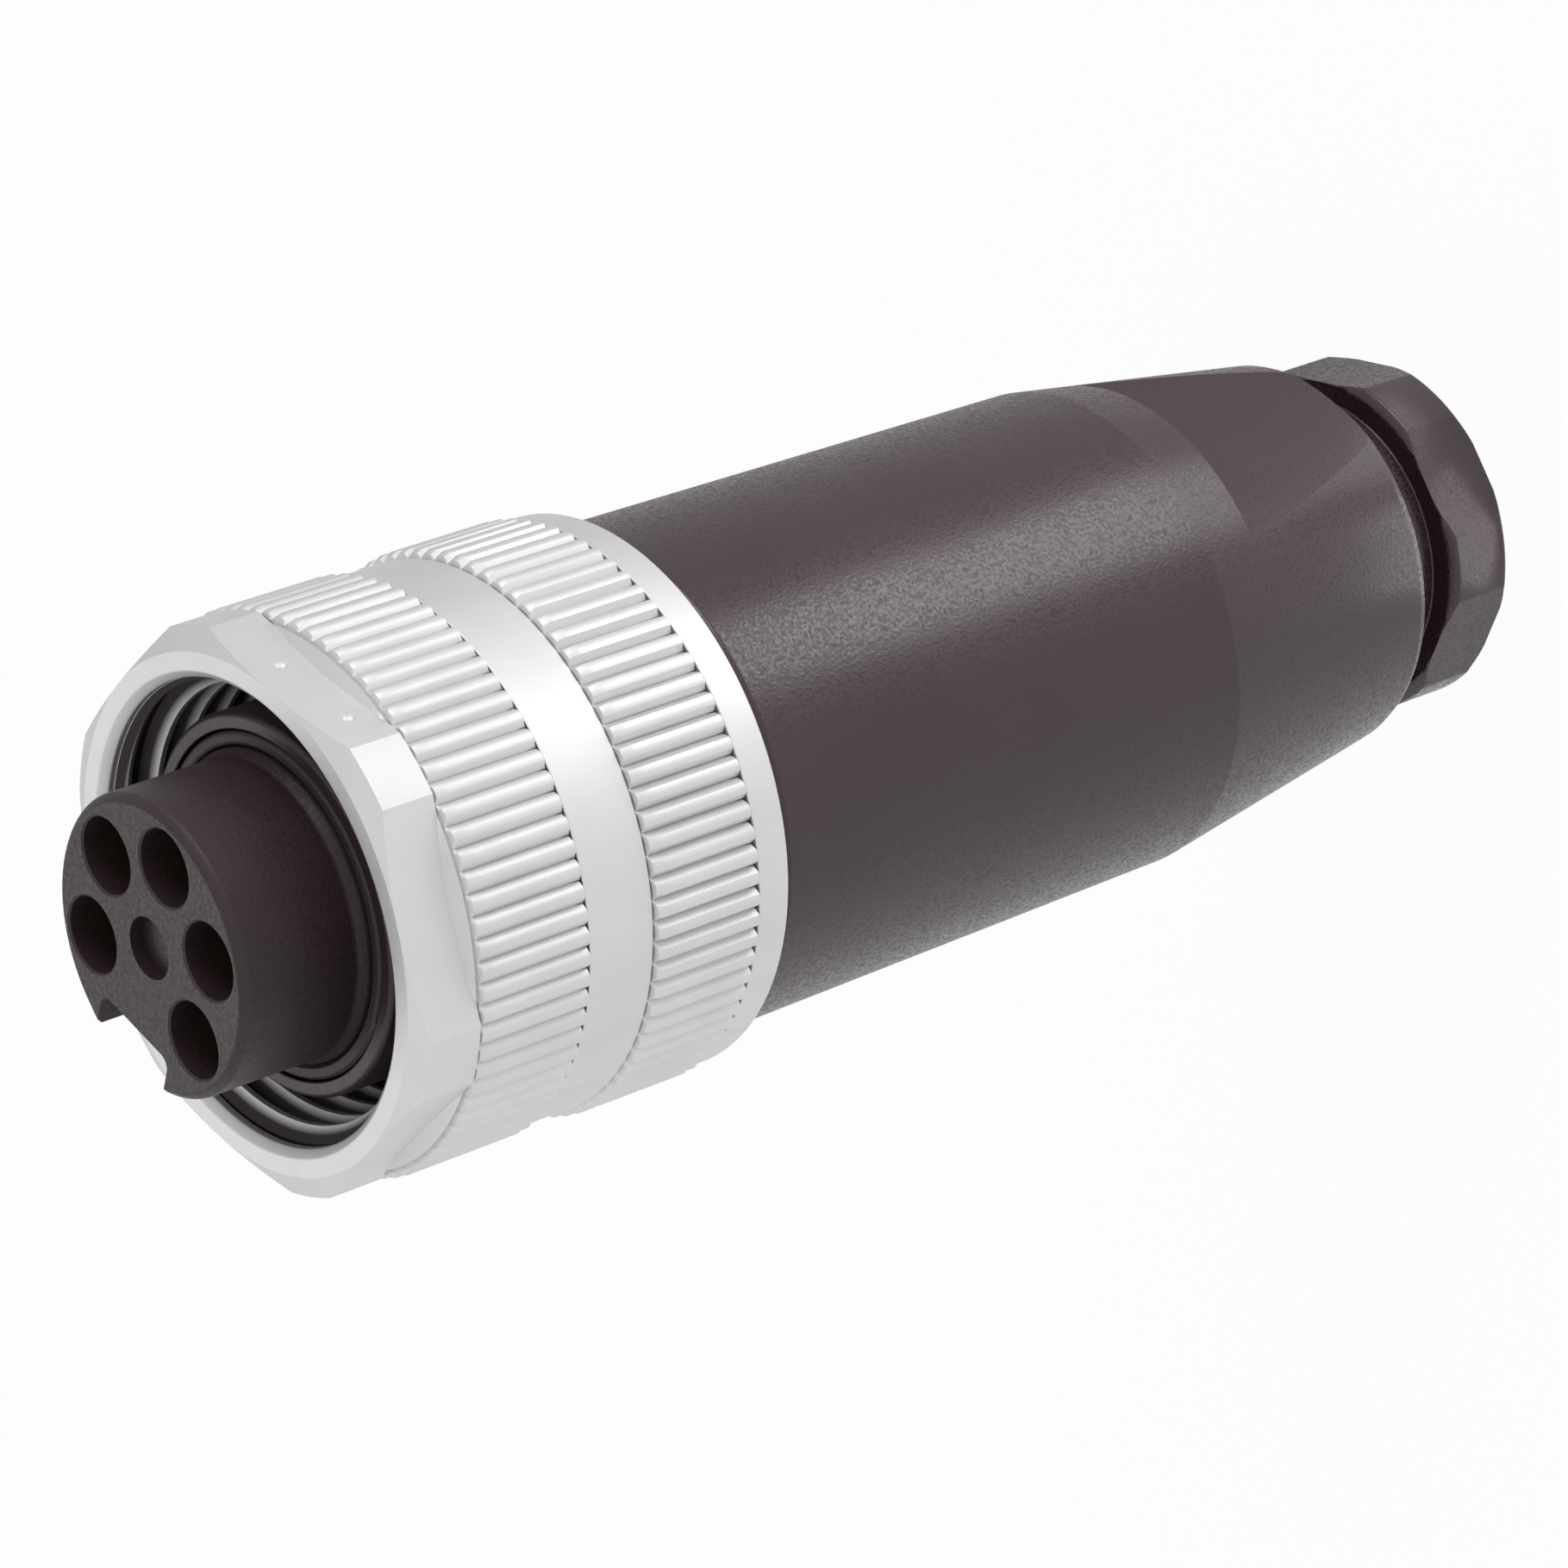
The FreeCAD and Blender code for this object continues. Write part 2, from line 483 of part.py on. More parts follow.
def socket_insert():
    """Insulating insert with a keyed nose and five deep contact holes."""
    body = turned([
        (0, INSERT_REAR), (CARRIER_REAR_BORE - SLIP_GAP, INSERT_REAR),
        (CARRIER_REAR_BORE - SLIP_GAP, INSERT_SEAT + SEAT_GAP),
        (CARRIER_BORE - SLIP_GAP, INSERT_SEAT + SEAT_GAP), (CARRIER_BORE - SLIP_GAP, SEAL_SEAT),
        (NOSE_BASE_RADIUS, SEAL_SEAT), (NOSE_BASE_RADIUS, RIM_FRONT),
        (NOSE_RADIUS, RIM_FRONT + NOSE_BASE), (NOSE_RADIUS, NOSE_FRONT, NOSE_CHAMFER),
        (0, NOSE_FRONT),
    ])
    holes = []
    for angle in POLE_ANGLES:
        spot = pole_spot(angle)
        wide = turned([
            (0, socket_seat()), (POLE_HOLE, socket_seat()),
            (POLE_HOLE, NOSE_FRONT - POLE_HOLE_LEAD), (POLE_HOLE + POLE_HOLE_LEAD, NOSE_FRONT),
            (POLE_HOLE + POLE_HOLE_LEAD, NOSE_FRONT + 1), (0, NOSE_FRONT + 1),
        ])
        holes.append(wide.translated(spot))
        holes.append(rod(SHANK_RADIUS + THREAD_GAP, INSERT_REAR - 1, NOSE_FRONT, spot))
    keyway_floor = NOSE_RADIUS - KEYWAY_DEPTH
    keyway = Part.makeBox(NOSE_RADIUS, KEYWAY_WIDTH, NOSE_FRONT - RIM_FRONT - NOSE_BASE + 1,
                          Vector(keyway_floor, -KEYWAY_WIDTH / 2, RIM_FRONT + NOSE_BASE))
    inner_edges = [
        edge for edge in keyway.Edges
        if all(abs(v.Point.x - keyway_floor) < 1e-6 for v in edge.Vertexes)
        and abs(edge.Vertexes[0].Point.z - edge.Vertexes[1].Point.z) > 1
    ]
    keyway = keyway.makeFillet(KEYWAY_ROUND, inner_edges)
    recess = rod(RECESS_RADIUS, NOSE_FRONT - RECESS_DEPTH, NOSE_FRONT + 1)
    return body.cut(holes + [keyway, recess])


def contact(angle):
    """One gold socket: slotted spring end, shank, and a barrel for the wire."""
    front = NOSE_FRONT - CONTACT_RECESS
    floor = front - SOCKET_DEPTH
    barrel_front = INSERT_REAR - SEAT_GAP
    body = turned([
        (0, BARREL_REAR), (BARREL_RADIUS, BARREL_REAR), (BARREL_RADIUS, barrel_front),
        (SHANK_RADIUS, barrel_front), (SHANK_RADIUS, floor - SOCKET_FLOOR),
        (SOCKET_RADIUS, floor - SOCKET_FLOOR), (SOCKET_RADIUS, front - SOCKET_TIP),
        (SOCKET_RADIUS - SOCKET_LEAD, front), (0, front),
    ])
    mouth = SOCKET_BORE + SOCKET_LEAD
    pin_bore = turned([
        (0, floor), (SOCKET_BORE, floor), (SOCKET_BORE, front - SOCKET_LEAD),
        (mouth, front), (mouth, front + 1), (0, front + 1),
    ])
    wire_bore = rod(WIRE_BORE, BARREL_REAR - 1, BARREL_REAR + WIRE_BORE_LENGTH)
    slots = [
        Part.makeBox(4 * SOCKET_RADIUS, SLOT_WIDTH, SLOT_LENGTH + 1,
                     Vector(-2 * SOCKET_RADIUS, -SLOT_WIDTH / 2, front - SLOT_LENGTH)),
        Part.makeBox(SLOT_WIDTH, 4 * SOCKET_RADIUS, SLOT_LENGTH + 1,
                     Vector(-SLOT_WIDTH / 2, -2 * SOCKET_RADIUS, front - SLOT_LENGTH)),
    ]
    thread = Part.makeCylinder(SCREW_RADIUS + THREAD_GAP, 2 * BARREL_RADIUS,
                               Vector(0, 0, SCREW_PLACE), Vector(1, 0, 0))
    piece = body.cut([pin_bore, wire_bore, thread] + slots)
    return piece.rotate(ORIGIN, AXIS, angle).translated(pole_spot(angle))


def terminal_block():
    """Insulating block behind the carrier, with a well for each barrel and its screw."""
    collar_front = CARRIER_REAR - SEAT_GAP
    block = turned([
        (0, BLOCK_REAR), (BLOCK_RADIUS, BLOCK_REAR, 0.5),
        (BLOCK_RADIUS, collar_front - BLOCK_COLLAR),
        (BLOCK_COLLAR_RADIUS, collar_front - BLOCK_COLLAR), (BLOCK_COLLAR_RADIUS, collar_front),
        (CARRIER_REAR_BORE - SLIP_GAP, collar_front),
        (CARRIER_REAR_BORE - SLIP_GAP, INSERT_REAR - SEAT_GAP), (0, INSERT_REAR - SEAT_GAP),
    ])
    wells = []
    for angle in POLE_ANGLES:
        spot = pole_spot(angle)
        wells.append(rod(BARREL_RADIUS + SEAT_GAP, BARREL_REAR - SEAT_GAP, INSERT_REAR + 1, spot))
        wells.append(rod(WIRE_BORE + WIRE_ENTRY_GAP, BLOCK_REAR - 1, INSERT_REAR, spot))
        wells.append(Part.makeCylinder(SCREW_POCKET, BLOCK_RADIUS,
                                       polar(POLE_RADIUS, angle, SCREW_PLACE), polar(1, angle)))
    return block.cut(wells)


def terminal_screw(angle):
    """Slotted clamping screw, radial in the barrel."""
    tip = POLE_RADIUS + WIRE_BORE - SCREW_BITE
    screw = Part.makeCylinder(SCREW_RADIUS, SCREW_LENGTH, Vector(tip, 0, SCREW_PLACE),
                              Vector(1, 0, 0))
    slot_floor = Vector(tip + SCREW_LENGTH - SCREW_SLOT_DEPTH, -2 * SCREW_RADIUS,
                        SCREW_PLACE - SCREW_SLOT / 2)
    slot = Part.makeBox(SCREW_LENGTH, 4 * SCREW_RADIUS, SCREW_SLOT, slot_floor)
    return screw.cut(slot).rotate(ORIGIN, AXIS, angle)


def build():
    """Every piece by node name."""
    pieces = {
        "gland_nut": gland_nut(),
        "slip_washer": slip_washer(),
        "clamp_basket": clamp_basket(),
        "cable_seal": cable_seal(),
        "housing_sleeve": housing_sleeve(),
        "housing_seal": housing_seal(),
        "carrier_shell": carrier_shell(),
        "coupling_ring": coupling_ring(),
        "face_seal": face_seal(),
        "socket_insert": socket_insert(),
        "terminal_block": terminal_block(),
    }
    for number, angle in enumerate(POLE_ANGLES, start=1):
        pieces[f"contact_{number}"] = contact(angle)
        pieces[f"terminal_screw_{number}"] = terminal_screw(angle)
    return pieces


os.makedirs("parts", exist_ok=True)
for node, shape in build().items():
    solids = shape.Solids
    if len(solids) != 1 or not shape.isValid():
        print("look at", node, len(solids), shape.isValid())
    solids[0].exportStep(f"parts/{node}.step")
    print(node, round(solids[0].Volume, 2), len(solids[0].Faces))
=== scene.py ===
"""The finished look of a five-pole circular connector, standing on its gland nut.

Lengths are in metres in the row's frame: Z is the connector's axis, z = 0 the gland nut's
rear face, +X the keyway of the contact insert. A name that ends in _MM is in millimetres,
and the angles among the named values are in degrees.
"""
import json
import math

import bmesh
import bpy
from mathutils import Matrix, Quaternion, Vector


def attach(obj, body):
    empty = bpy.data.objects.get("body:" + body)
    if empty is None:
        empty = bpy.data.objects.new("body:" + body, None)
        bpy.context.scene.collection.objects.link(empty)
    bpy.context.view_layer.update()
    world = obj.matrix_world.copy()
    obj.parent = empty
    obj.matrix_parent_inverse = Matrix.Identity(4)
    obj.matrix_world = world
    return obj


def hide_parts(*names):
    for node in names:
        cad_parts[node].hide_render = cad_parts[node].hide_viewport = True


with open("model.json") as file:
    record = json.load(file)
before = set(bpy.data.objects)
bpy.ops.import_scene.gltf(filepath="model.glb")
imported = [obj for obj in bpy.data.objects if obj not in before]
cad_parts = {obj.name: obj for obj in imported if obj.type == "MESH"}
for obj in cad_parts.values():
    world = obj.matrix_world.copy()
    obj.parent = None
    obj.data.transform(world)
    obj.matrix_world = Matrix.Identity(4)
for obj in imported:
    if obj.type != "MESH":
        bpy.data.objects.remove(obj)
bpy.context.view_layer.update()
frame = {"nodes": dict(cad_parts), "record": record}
nodes = frame["nodes"]

MM = 0.001

# Camera, as the photograph was taken
CAMERA_PLACE = Vector((-0.197655, 0.180490, 0.234035))
CAMERA_AIM = Vector((0.001348, 0.002093, 0.041637))
CAMERA_ROLL = -109.314
CAMERA_LENS = 158.33
CAMERA_SENSOR = 36.0
CAMERA_CLIP = (0.01, 20.0)

# Light and stage
WORLD_LEVEL = 0.42
SHADED_SIDE = (0.087, -0.996, 0.0)  # the studio's darker side, as gloss and metal mirror it
SHADED_FROM = -0.2       # the dot product with that side where it begins
SHADED_LEVEL = 0.62
BRIGHT_LEVEL = 0.95
FLOOR_HALF = 3.0
FLOOR_WHITE = 0.96       # how much of the floor is plain white to the camera
SOFTBOX_AIM = Vector((0, 0, 0.04))
SOFTBOX_DISTANCE = 0.8
KEY_SOFTBOX = {"direction": (-0.92, -0.28, 0.28), "size": 0.40, "power": 1.8}
TOP_SOFTBOX = {          # faces that look up mirror this one to the camera
    "direction": (0.604, -0.542, 0.584), "size": 0.35, "power": 0.4}
CARD_HEIGHT = 0.0004
STRIPE_CARDS = {         # low lamps beside the foot give the handle its soft stripe
    "angle": 172.0, "ends": (0.011, 0.022, 0.036, 0.058, 0.086, 0.17),
    "levels": (0.9, 1.6, 3.0, 3.4, 0.6),  # the last one is what the coupling ring mirrors
    "spread": 0.27,      # half the width, as a share of the distance
}
NUT_CARD = {             # one more brightens the gland nut
    "angle": 125.0, "ends": (0.0095, 0.0165), "levels": (1.4,), "spread": 0.35}

# Surfaces
NOISE_RANGE = (0.3, 0.7)  # most values of a noise texture lie in it
PLASTIC_RELIEF = 0.00004
METAL_RELIEF = 0.00001
METAL_GRAIN = 0.00009
METAL_DRIFT = 0.004
METAL_UNEVENNESS = 0.10  # of the roughness
TURNED_SHARE = 0.7       # of the metal's relief, the rest is grain
THREAD_DARK_RANGE = (0.08, 0.5)  # shares of the thread's depth over which its painted shade grows
THREAD_DARK_LIMIT = 1.2  # share of the depth beyond which a point isn't in the thread
VALLEY_FADE = 0.00009    # height above the valleys over which their painted shade fades
VALLEY_DARKNESS = 0.15   # painted shade along the valleys
END_DARKNESS = 0.85      # the painted shade that the valleys' rear ends have on top
# distance in front of each knurl's rear end over which its painted end shade fades
END_REACH = 0.0006

# Knurls of the coupling ring: places of the solid, and the rounding of the real ribs
KNURLS_MM = ((53.05, 59.15, 13.72), (62.80, 69.05, 13.60))  # rear, front, crest radius
RIBS = 80
FIRST_VALLEY = 154.4
RIB_ROOT_MM = 13.25
RIB_FLOOR_MM = 13.10     # of the ring's core under the ribs
RIB_CORE_MM = 12.80
RIB_REAR_GROOVE_MM = 0.06
RIB_FRONT_GROOVE_MM = 0.05
RIB_FRONT_ROUND_MM = 0.42
RIB_REAR_ROUND_MM = 0.06
RIB_SHARE = 0.92         # of the pitch, at the rib's foot
RIB_BULGE = 3.4          # higher is a flatter crest with steeper sides
RIB_COLUMNS = 8          # of the mesh, on each rib
RIB_ROWS = 16            # from the core's rear edge over the ribs and back to it
RIB_SEAM = 1e-6          # distance below which the sleeve's ends are joined

# Flats of the coupling ring and of the housing
HEXAGON_REAR_MM = 68.9
HEXAGON_FLAT_MM = 12.4   # from the axis
HEXAGON_FLAT_ANGLE = 4.4
HEXAGON_BORE_MM = 12.0
WRENCH_FLATS_FRONT_MM = 25.0

# Threads, where the solids have plain walls
COUPLING_MAJOR_MM = 11.11
COUPLING_MINOR_MM = 10.4
COUPLING_PITCH_MM = 25.4 / 16
COUPLING_REAR_MM = 62.8
COUPLING_FRONT_MM = 71.6
GLAND_SHANK_MM = 7.5
GLAND_ROOT_MM = 6.85
GLAND_PITCH_MM = 1.411
GLAND_REAR_MM = 4.0
GLAND_FRONT_MM = 13.0
GLAND_HEAD_FRONT_MM = 4.2
THREAD_STEPS = 96        # in each turn
THREAD_FOOT = 0.46       # half the ridge's width at its foot, as a share of the pitch
THREAD_CREST = 0.09      # and at its crest
THREAD_RUN_OUT = 0.08    # share of the length over which each end thins out
THREAD_THINNEST = 0.02   # share of the full ridge that stays at the very end

# Finishing of the solids' meshes
MERGE_DISTANCE = 2e-6
SAME_PLANE = 0.5         # angle up to which neighbouring faces are one
SMOOTH_ANGLE = 30.0      # up to which grown pieces are shaded smooth
BEVEL_SEGMENTS = 3
BEVEL_ROOM = 2.5         # rounding widths that an edge's length must have
BEVEL_NARROWEST = 40.0   # between two sharp edges that still leaves room for rounding
PLACE_TOLERANCE_MM = 0.01
CIRCLE_TOLERANCE_MM = 0.02
RIB_TOLERANCE_MM = 0.05
TURNED_FACET = 7.0       # the widest facet of a turned face, as seen from the axis
TURNED_LEAN = 0.06       # sideways part that a turned face's normal may have
LEVEL_NORMAL = 0.999     # part along Z from which a face counts as square to the axis


class Wiring:
    """Adds nodes to a tree and joins them: node(type, {input: value or socket}, **settings)."""

    def __init__(self, tree):
        self.tree = tree

    def node(self, kind, inputs=None, **settings):
        made = self.tree.nodes.new(kind)
        for key, value in settings.items():
            setattr(made, key, value)
        for key, value in (inputs or {}).items():
            if isinstance(value, bpy.types.NodeSocket):
                self.tree.links.new(value, made.inputs[key])
            else:
                made.inputs[key].default_value = value
        return made

    def math(self, operation, *values):
        inputs = dict(enumerate(values))
        return self.node("ShaderNodeMath", inputs, operation=operation).outputs[0]

    def clamped(self, value, low=0.0):
        return self.math("MINIMUM", self.math("MAXIMUM", value, low), 1.0)

    def combined(self, x=0.0, y=0.0, z=0.0):
        return self.node("ShaderNodeCombineXYZ", {"X": x, "Y": y, "Z": z}).outputs["Vector"]

    def separated(self, vector):
        return self.node("ShaderNodeSeparateXYZ", {"Vector": vector}).outputs

    def coordinate(self, kind):
        return self.node("ShaderNodeTexCoord").outputs[kind]

    def axis_distance(self, spot):
        square = self.math("MULTIPLY", spot["Y"], spot["Y"])
        return self.math("SQRT", self.math("MULTIPLY_ADD", spot["X"], spot["X"], square))


def new_group(name, kind, inputs, outputs):
    """A node group. Each input has a default value or, as text, the kind of its socket."""
    tree = bpy.data.node_groups.new(name, kind)
    for label, value in inputs.items():
        socket_kind = {float: "Float", int: "Int"}.get(type(value), value)
        socket = tree.interface.new_socket(
            label, in_out="INPUT", socket_type="NodeSocket" + socket_kind)
        if socket_kind != value:
            socket.default_value = value
    for label, socket_kind in outputs.items():
        tree.interface.new_socket(
            label, in_out="OUTPUT", socket_type="NodeSocket" + socket_kind)
    wire = Wiring(tree)
    return tree, wire, wire.node("NodeGroupInput").outputs


# Shader groups

def grain_group():
    """Spark-eroded mould grain and slow colour drift, from Object coordinates."""
    tree, wire, given = new_group(
        "moulded_grain", "ShaderNodeTree", {"Grain Size": 0.0002, "Drift Size": 0.006},
        {"Height": "Float", "Speckle": "Float", "Drift": "Float"})
    place = wire.coordinate("Object")
    fine = wire.node("ShaderNodeTexNoise", {
        "Vector": place, "Scale": wire.math("DIVIDE", 1.0, given["Grain Size"]), "Detail": 1.0,
    })
    speckle = wire.node("ShaderNodeMapRange", {
        "Value": fine.outputs["Fac"], "From Min": NOISE_RANGE[0], "From Max": NOISE_RANGE[1],
    })
    slow = wire.node("ShaderNodeTexNoise", {
        "Vector": place, "Scale": wire.math("DIVIDE", 1.0, given["Drift Size"]), "Detail": 3.0,
    })
    wire.node("NodeGroupOutput", {
        "Height": fine.outputs["Fac"], "Speckle": speckle.outputs["Result"],
        "Drift": slow.outputs["Fac"],
    })
    return tree


def turning_group():
    """Fine rings round the Z axis, as a lathe tool leaves them."""
    tree, wire, given = new_group(
        "turned_rings", "ShaderNodeTree", {"Ring Pitch": 0.00012}, {"Height": "Float"})
    spot = wire.separated(wire.coordinate("Object"))
    noise = wire.node("ShaderNodeTexNoise", {
        "Vector": wire.combined(wire.axis_distance(spot), 0.0, spot["Z"]),
        "Scale": wire.math("DIVIDE", 1.0, given["Ring Pitch"]), "Detail": 1.0,
    })
    wire.node("NodeGroupOutput", {"Height": noise.outputs["Fac"]})
    return tree


def recess_shade_group():
    """Painted shade on the ring's metal: in the thread's root and along the knurls' valleys,
    darkest at the valleys' rear ends.
    """
    tree, wire, given = new_group(
        "painted_recess_shade", "ShaderNodeTree", {
            "Crest Radius": COUPLING_MINOR_MM * MM, "Root Radius": COUPLING_MAJOR_MM * MM,
            "Mouth": COUPLING_FRONT_MM * MM, "Core Radius": RIB_CORE_MM * MM,
            "Valley Radius": RIB_ROOT_MM * MM, "Valley Fade": VALLEY_FADE,
            "Rear Knurl": KNURLS_MM[0][0] * MM, "Front Knurl": KNURLS_MM[1][0] * MM,
            "Knurl End": KNURLS_MM[1][1] * MM, "End Reach": END_REACH,
        }, {"Mask": "Float"})
    spot = wire.separated(wire.coordinate("Object"))
    radius = wire.axis_distance(spot)

    # Painted shade in the thread's root, growing with its depth.
    rise = wire.math("SUBTRACT", given["Root Radius"], given["Crest Radius"])
    depth = wire.math("DIVIDE", wire.math("SUBTRACT", radius, given["Crest Radius"]), rise)
    rooted = wire.node("ShaderNodeMapRange", {
        "Value": depth, "From Min": THREAD_DARK_RANGE[0], "From Max": THREAD_DARK_RANGE[1],
    })
    inside = wire.math("LESS_THAN", depth, THREAD_DARK_LIMIT)
    behind = wire.math("LESS_THAN", spot["Z"], given["Mouth"])
    thread_shade_mask = wire.math("MULTIPLY", rooted.outputs["Result"],
                            wire.math("MULTIPLY", inside, behind))

    # Painted shade along the knurls' valleys, strongest at their rear ends.
    above = wire.math("SUBTRACT", radius, given["Valley Radius"])
    above = wire.math("DIVIDE", above, given["Valley Fade"])
    deep = wire.clamped(wire.math("SUBTRACT", 1.0, above))
    for limit in (wire.math("GREATER_THAN", radius, given["Core Radius"]),
                  wire.math("LESS_THAN", spot["Z"], given["Knurl End"]),
                  wire.math("GREATER_THAN", spot["Z"], given["Rear Knurl"])):
        deep = wire.math("MULTIPLY", deep, limit)
    nearest = 0.0
    for end in ("Rear Knurl", "Front Knurl"):
        beyond = wire.math("SUBTRACT", spot["Z"], given[end])
        away = wire.math("DIVIDE", beyond, given["End Reach"])
        share = wire.clamped(wire.math("SUBTRACT", 1.0, away))
        share = wire.math("MULTIPLY", share, wire.math("GREATER_THAN", beyond, 0.0))
        nearest = wire.math("MAXIMUM", share, nearest)
    dark = wire.math("MULTIPLY_ADD", nearest, END_DARKNESS, VALLEY_DARKNESS)
    valley_shade_mask = wire.math("MULTIPLY", deep, dark)

    wire.node("NodeGroupOutput", {"Mask": wire.math("MAXIMUM", thread_shade_mask, valley_shade_mask)})
    return tree


GRAIN = grain_group()
RECESS_SHADE = recess_shade_group()
TURNING = turning_group()


# Materials

def blank_material(name):
    """A node material with only a Principled shader and an output."""
    material = bpy.data.materials.new(name)
    material.use_nodes = True
    return material, Wiring(material.node_tree), material.node_tree.nodes["Principled BSDF"]


def drifting_colour(wire, drift, dark, light):
    """Blends between two colours as the slow noise goes up and down."""
    ramp = wire.node("ShaderNodeValToRGB", {"Fac": drift})
    for element, position, colour in zip(ramp.color_ramp.elements, NOISE_RANGE, (dark, light)):
        element.position = position
        element.color = (*colour, 1)
    return ramp.outputs["Color"]


def moulded_plastic(name, dark, light, roughness, speckle, grain_size, bump, gloss=0.5):
    """Moulded plastic with a fine grain, whose points are shinier than its pits."""
    material, wire, shader = blank_material(name)
    grain = wire.node("ShaderNodeGroup", {"Grain Size": grain_size}, node_tree=GRAIN).outputs
    relief = wire.node("ShaderNodeBump", {
        "Height": grain["Height"], "Strength": bump, "Distance": PLASTIC_RELIEF})
    rough = wire.math("MULTIPLY_ADD", grain["Speckle"], -speckle, roughness + speckle / 2)
    links = material.node_tree.links
    links.new(drifting_colour(wire, grain["Drift"], dark, light), shader.inputs["Base Color"])
    links.new(rough, shader.inputs["Roughness"])
    links.new(relief.outputs["Normal"], shader.inputs["Normal"])
    shader.inputs["Specular IOR Level"].default_value = gloss
    return material


def plated_metal(name, dark, light, roughness, ring_pitch, bump, painted_shade_colour=None):
    """Turned metal under a thin satin plating, with painted shade in the ring's thread root and
    knurl valleys when a shade colour is given.
    """
    material, wire, shader = blank_material(name)
    grain = wire.node("ShaderNodeGroup", {"Grain Size": METAL_GRAIN, "Drift Size": METAL_DRIFT},
                      node_tree=GRAIN).outputs
    turned = wire.node("ShaderNodeGroup", {"Ring Pitch": ring_pitch}, node_tree=TURNING).outputs
    colour = drifting_colour(wire, grain["Drift"], dark, light)
    if painted_shade_colour:
        # painted shade: the dark colour is blended in where the mask is high
        mask = wire.node("ShaderNodeGroup", node_tree=RECESS_SHADE).outputs["Mask"]
        blend = wire.node("ShaderNodeMix", {  # 6 and 7 are its two colours, and 2 their blend
            "Factor": mask, 6: colour, 7: (*painted_shade_colour, 1)}, data_type="RGBA")
        colour = blend.outputs[2]
    rough = wire.math("MULTIPLY_ADD", grain["Height"], METAL_UNEVENNESS,
                      roughness - METAL_UNEVENNESS / 2)
    height = wire.math("MULTIPLY_ADD", turned["Height"], TURNED_SHARE,
                       wire.math("MULTIPLY", grain["Height"], 1 - TURNED_SHARE))
    relief = wire.node("ShaderNodeBump", {
        "Height": height, "Strength": bump, "Distance": METAL_RELIEF})
    links = material.node_tree.links
    links.new(colour, shader.inputs["Base Color"])
    links.new(rough, shader.inputs["Roughness"])
    links.new(relief.outputs["Normal"], shader.inputs["Normal"])
    shader.inputs["Metallic"].default_value = 1.0
    return material


MATERIALS = {  # by the record's slots
    "black_plastic": moulded_plastic(
        "handle_plastic", dark=(0.031, 0.010, 0.013), light=(0.038, 0.015, 0.018),
        roughness=0.33, speckle=0.34, grain_size=0.00018, bump=0.35, gloss=0.65),
    "insert_plastic": moulded_plastic(
        "insert_plastic", dark=(0.030, 0.015, 0.017), light=(0.038, 0.021, 0.023),
        roughness=0.48, speckle=0.16, grain_size=0.00022, bump=0.4, gloss=0.45),
    "nylon": moulded_plastic(
        "gland_nylon", dark=(0.055, 0.055, 0.057), light=(0.070, 0.070, 0.072),
        roughness=0.35, speckle=0.08, grain_size=0.0002, bump=0.2),
    "seal_rubber": moulded_plastic(
        "seal_rubber", dark=(0.026, 0.016, 0.018), light=(0.036, 0.023, 0.025),
        roughness=0.55, speckle=0.10, grain_size=0.00012, bump=0.35),
    # satin nickel, with painted shade in its thread root and knurl valleys
    "satin_nickel": plated_metal(
        "satin_nickel", dark=(0.70, 0.70, 0.705), light=(0.74, 0.74, 0.745),
        roughness=0.57, ring_pitch=0.00010, bump=0.25, painted_shade_colour=(0.06, 0.05, 0.052)),
    "gold_plate": plated_metal(
        "gold_plate", dark=(0.78, 0.56, 0.21), light=(0.88, 0.66, 0.30),
        roughness=0.22, ring_pitch=0.00008, bump=0.2),
    "zinc_steel": plated_metal(
        "zinc_steel", dark=(0.60, 0.61, 0.62), light=(0.68, 0.69, 0.70),
        roughness=0.28, ring_pitch=0.00008, bump=0.2),
}
SMOOTH_PLASTIC = moulded_plastic(
    "carrier_plastic", dark=(0.030, 0.012, 0.015), light=(0.037, 0.017, 0.020),
    roughness=0.42, speckle=0.10, grain_size=0.00018, bump=0.2)
SLOT_OF = {part["node"]: part["material_slot"] for part in frame["record"]["subparts"]}
BODY_OF = {
    node: body for body, members in frame["record"]["behaviour"]["bodies"].items()
    for node in members
}


def finish_with(piece, slot, finish=None):
    """Gives a piece one material: the given finish, or else the one of its slot in the record."""
    piece.data.materials.clear()
    piece.data.materials.append(finish or MATERIALS[slot])


# Finished copies of the solids

def on_circle(edge):
    """Whether an edge lies along a circle about Z."""
    first, last = (vertex.co for vertex in edge.verts)
    along_axis = abs(first.z - last.z)
    outward = abs(math.hypot(first.x, first.y) - math.hypot(last.x, last.y))
    return max(along_axis, outward) < CIRCLE_TOLERANCE_MM * MM


def off_hexagon(edge):
    """Whether an edge of the coupling ring lies along a circle and clear of its hexagon."""
    spot = edge.verts[0].co
    in_bore = math.hypot(spot.x, spot.y) < HEXAGON_BORE_MM * MM
    return on_circle(edge) and (spot.z < HEXAGON_REAR_MM * MM or in_bore)


def off_wrench_flats(edge):
    """Whether an edge of the housing lies along a circle in front of its wrench flats."""
    return on_circle(edge) and edge.verts[0].co.z > WRENCH_FLATS_FRONT_MM * MM


